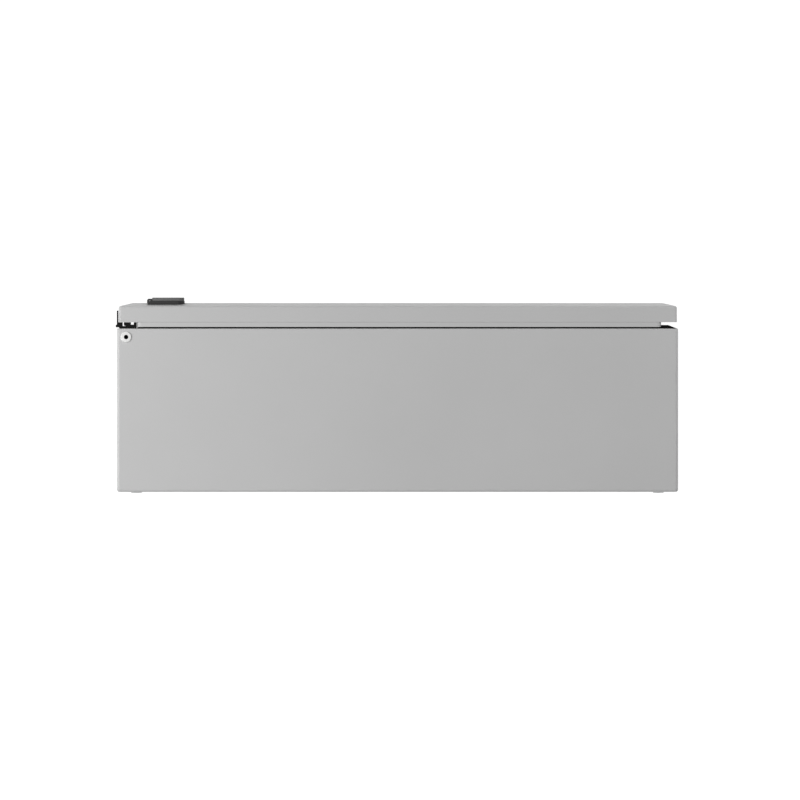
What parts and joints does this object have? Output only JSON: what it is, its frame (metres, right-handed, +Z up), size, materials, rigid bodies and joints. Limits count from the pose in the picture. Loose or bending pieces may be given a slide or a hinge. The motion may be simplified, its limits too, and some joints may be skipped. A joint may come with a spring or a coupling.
{
  "type": "wall enclosure",
  "caption": "Shallow wall-mounted sheet-steel equipment enclosure with a bevelled hinged door, quarter-turn locks, mounting plate and gland plate.",
  "frame": {"origin": "centre of the four wall-fixing holes, on the plane of the wall", "axes": "+Z up, door faces -Y, +X to the right as one faces the door"},
  "size_m": [0.6012, 0.2088, 0.6016],
  "materials": {
    "body_paint": "satin",
    "door_paint": "satin",
    "black_rubber": "matte",
    "foam_seal": "matte",
    "black_plastic": "satin",
    "black_screw": "satin",
    "zinc_plate": "satin",
    "zinc_fixing": "bright",
    "bright_steel": "polished",
    "brass_fixing": "bright",
    "hinge_steel": "satin",
    "white_nylon": "satin",
    "lock_grey": "satin",
    "lock_cover_grey": "satin"
  },
  "bodies": {
    "cabinet": {"roof_panel": "body_paint", "floor_panel": "body_paint", "left_side": "body_paint", "right_side": "body_paint", "front_flange": "body_paint", "rear_panel": "body_paint", "rim_seal": "black_rubber", "closing_guard": "black_plastic", "guard_screws": "black_screw", "gland_gasket": "black_rubber", "gland_plate": "zinc_plate", "gland_screws": "zinc_fixing", "roof_grommet": "white_nylon", "plate_studs": "zinc_fixing", "plate_spacers": "zinc_fixing", "mounting_plate": "zinc_plate", "plate_washers": "zinc_fixing", "plate_nuts": "zinc_fixing", "body_earth_stud": "brass_fixing", "body_earth_nut": "brass_fixing", "hinge_upper_bracket": "hinge_steel", "hinge_upper_pin": "bright_steel", "hinge_lower_bracket": "hinge_steel", "hinge_lower_pin": "bright_steel", "hinge_screws": "zinc_fixing"},
    "door": {"door_panel": "door_paint", "door_frame": "door_paint", "door_gasket": "foam_seal", "door_earth_stud": "brass_fixing", "door_earth_nut": "brass_fixing", "hinge_upper_eye": "hinge_steel", "hinge_lower_eye": "hinge_steel", "lock_upper_housing": "lock_grey", "lock_upper_nut": "bright_steel", "lock_upper_flap_pin": "bright_steel", "lock_lower_housing": "lock_grey", "lock_lower_nut": "bright_steel", "lock_lower_flap_pin": "bright_steel"},
    "lock_upper_cylinder": {"lock_upper_rotor": "bright_steel", "lock_upper_cam": "zinc_plate", "lock_upper_cam_screw": "zinc_fixing"},
    "lock_upper_dust_flap": {"lock_upper_flap": "lock_cover_grey"},
    "lock_lower_cylinder": {"lock_lower_rotor": "bright_steel", "lock_lower_cam": "zinc_plate", "lock_lower_cam_screw": "zinc_fixing"},
    "lock_lower_dust_flap": {"lock_lower_flap": "lock_cover_grey"}
  },
  "joints": [
    {"name": "door_hinge", "type": "hinge", "parent": "cabinet", "child": "door", "pos_m": [-0.293, -0.1875, 0], "axis": [0, 0, -1], "range_deg": [0, 115]},
    {"name": "lock_upper_turn", "type": "hinge", "parent": "door", "child": "lock_upper_cylinder", "pos_m": [0.2475, -0.203, 0.2412], "axis": [0, -1, 0], "range_deg": [0, 90]},
    {"name": "lock_upper_flap_swing", "type": "hinge", "parent": "door", "child": "lock_upper_dust_flap", "pos_m": [0.265, -0.2055, 0.2582], "axis": [0, 0, 1], "range_deg": [0, 100]},
    {"name": "lock_lower_turn", "type": "hinge", "parent": "door", "child": "lock_lower_cylinder", "pos_m": [0.2475, -0.203, -0.2358], "axis": [0, 1, 0], "range_deg": [0, 90]},
    {"name": "lock_lower_flap_swing", "type": "hinge", "parent": "door", "child": "lock_lower_dust_flap", "pos_m": [0.265, -0.2055, -0.2188], "axis": [0, 0, 1], "range_deg": [0, 100]}
  ]
}
